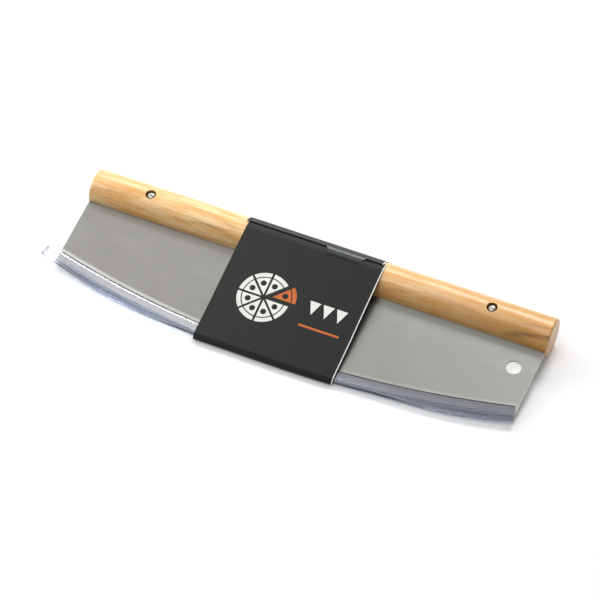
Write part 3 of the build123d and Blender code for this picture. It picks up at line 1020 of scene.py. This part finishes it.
def makeInk(p):
    material, tree = newMaterial("matt printed boxboard")
    uv = addNode(tree, "UVMap", {"uv_map": "stripPlace"})
    place = addNode(tree, "SeparateXYZ", {}, [uv])
    u, v = place.outputs["X"], place.outputs["Y"]
    fine = addNode(tree, "TexNoise", {}, {"Vector": uv, "Scale": p["fine"], "Detail": 2.0})
    cloud = addNode(tree, "TexNoise", {}, {"Vector": uv, "Scale": p["cloud"], "Detail": 3.0})
    # worn ink at random, and painted light: lighter toward the left edge
    towardLeft = addNode(tree, "MapRange", {}, [u, *p["paintedLeftLightSpan"]])
    wornAndPaintedLight = addNode(tree, "Math", {"operation": "ADD"}, [cloud, towardLeft])
    wornAndPaintedLight = addNode(tree, "MapRange", {}, [wornAndPaintedLight, *p["wornAndLitRange"], 0.0, 1.0])
    body = addNode(tree, "Mix", colourMix, [wornAndPaintedLight, p["ink"], p["inkWornAndLit"]])
    # painted sheen on the outer lap
    behind = addNode(tree, "SeparateXYZ", {}, [placeFrom(tree, axisPoint)]).outputs["Y"]
    paintedFlapSheen = addNode(tree, "MapRange", {}, [behind, *p["flapFrom"], 0.0, 1.0])
    body = addNode(tree, "Mix", colourMix, [paintedFlapSheen, body, p["paintedFlapSheen"]])
    fleck = addNode(tree, "MapRange", {}, [fine, *p["fleckRange"]])
    body = addNode(tree, "Mix", colourMix, [fleck, body, p["fleck"]])

    shape, drawnOut = wheelMask(tree, p, u, v, (0.0, 0.0))
    left = addNode(tree, "Math", {"operation": "SUBTRACT"}, [1.0, drawnOut])
    white = addNode(tree, "Math", {"operation": "MULTIPLY"}, [shape, left])
    bare = addNode(tree, "Math", {"operation": "GREATER_THAN"}, [u, p["edge"]])
    for mask in (wedgeMask(tree, p, u, v), bare):
        white = addNode(tree, "Math", {"operation": "MAXIMUM"}, [white, mask])
    shape, drawnOut = wheelMask(tree, p, u, v, p["pulled"])
    orange = addNode(tree, "Math", {"operation": "MULTIPLY"}, [shape, drawnOut])
    orange = addNode(tree, "Math", {"operation": "MAXIMUM"}, [orange, ruleMask(tree, p, u, v)])
    body = addNode(tree, "Mix", colourMix, [white, body, p["white"]])
    body = addNode(tree, "Mix", colourMix, [orange, body, p["orange"]])

    rough = addNode(tree, "MapRange", {}, [cloud, *p["roughness"]])
    strength, depth = p["bump"]
    bump = addNode(tree, "Bump", {}, {"Strength": strength, "Distance": depth * mm, "Height": fine})
    skin = {"Base Color": body, "Roughness": rough, "IOR": p["ior"], "Normal": bump}
    skin = addNode(tree, "BsdfPrincipled", {}, {**skin, "Specular IOR Level": p["shine"]})
    addNode(tree, "OutputMaterial", {}, {"Surface": skin})
    return material


# Bare board: recycled boxboard, pressed: brown-grey and fibrous at the back, white where it was cut
boardLook = {
    "back": "#3B3026",
    "cut": "#E8E6E0",
    "fibre": 0.5,  # mm
    "fibreRange": (0.3, 0.7, 0.82, 1.0),
    "roughness": 0.85,
    "bump": (0.3, 0.05),
}


def makeBoard(name, colour, b):
    material, tree = newMaterial(name)
    place = addNode(tree, "TexCoord").outputs["Object"]
    fibre = addNode(tree, "TexNoise", {}, {"Vector": place, "Scale": 1 / (b["fibre"] * mm), "Detail": 3.0})
    shade = addNode(tree, "MapRange", {}, [fibre, *b["fibreRange"]])
    body = addNode(tree, "Mix", colourMultiply, [1.0, colour, shade])
    strength, depth = b["bump"]
    bump = addNode(tree, "Bump", {}, {"Strength": strength, "Distance": depth * mm, "Height": fibre})
    skin = {"Base Color": body, "Roughness": b["roughness"], "Normal": bump}
    skin = addNode(tree, "BsdfPrincipled", {}, skin)
    addNode(tree, "OutputMaterial", {}, {"Surface": skin})
    return material


# Tongue: the same printed board, bent and handled: greyer ink with a painted sheen, lighter along its
# crease where the ink is rubbed and a highlight of the bend is painted, and painted shade where it goes
# down through the slit
tongueLook = {
    # greyer: handled ink, and a painted sheen where the tongue faces up
    "ink": "#333634",
    # rubbed ink, and a painted highlight of the bend
    "crease": "#747877",
    "creaseSpan": (0.1, 1.3),  # mm behind the handle's axis: plain ink, and fully lightened
    "creaseShareRange": (0.6, 1.4),
    # painted shade where the tongue goes down through the slit
    "paintedSlitShade": "#0C0D0C",
    "slitShadeSpan": (-2.9, -2.3),
    "scuff": 2.2,  # mm
    "roughness": 0.55,
    "shine": 0.2,
    "bump": (0.2, 0.05),
}


def makeTongueInk(t):
    material, tree = newMaterial("tongue ink with wear and painted light")
    place = placeFrom(tree, axisPoint)
    behind = addNode(tree, "SeparateXYZ", {}, [place]).outputs["Y"]
    scuff = addNode(tree, "TexNoise", {}, {"Vector": place, "Scale": 1 / t["scuff"], "Detail": 2.0})
    # lighter along the crease: rubbed ink and a painted highlight of the bend
    rubbedAndPaintedLight = addNode(tree, "MapRange", {}, [behind, *t["creaseSpan"], 0.0, 1.0])
    rubbedAndPaintedLight = addNode(tree, "Math", {"operation": "ADD"}, [rubbedAndPaintedLight, scuff])
    rubbedAndPaintedLight = addNode(tree, "MapRange", {}, [rubbedAndPaintedLight, *t["creaseShareRange"], 0.0, 1.0])
    body = addNode(tree, "Mix", colourMix, [rubbedAndPaintedLight, t["ink"], t["crease"]])
    # painted shade where the tongue goes through the slit
    paintedSlitShade = addNode(tree, "MapRange", {}, [behind, *t["slitShadeSpan"], 1.0, 0.0])
    body = addNode(tree, "Mix", colourMix, [paintedSlitShade, body, t["paintedSlitShade"]])
    strength, depth = t["bump"]
    bump = addNode(tree, "Bump", {}, {"Strength": strength, "Distance": depth * mm, "Height": scuff})
    skin = {"Base Color": body, "Roughness": t["roughness"], "Normal": bump}
    skin = addNode(tree, "BsdfPrincipled", {}, {**skin, "Specular IOR Level": t["shine"]})
    addNode(tree, "OutputMaterial", {}, {"Surface": skin})
    return material


cardSleeve = makeSleeve(sleeve)
cardMaterials = {
    "print": makeInk(printing),
    "back": makeBoard("grey board back", boardLook["back"], boardLook),
    "cut": makeBoard("white board cut edge", boardLook["cut"], boardLook),
    "tongue": makeTongueInk(tongueLook),
}
for side in cardSides:
    cardSleeve.data.materials.append(cardMaterials[side])
print("card sleeve made")
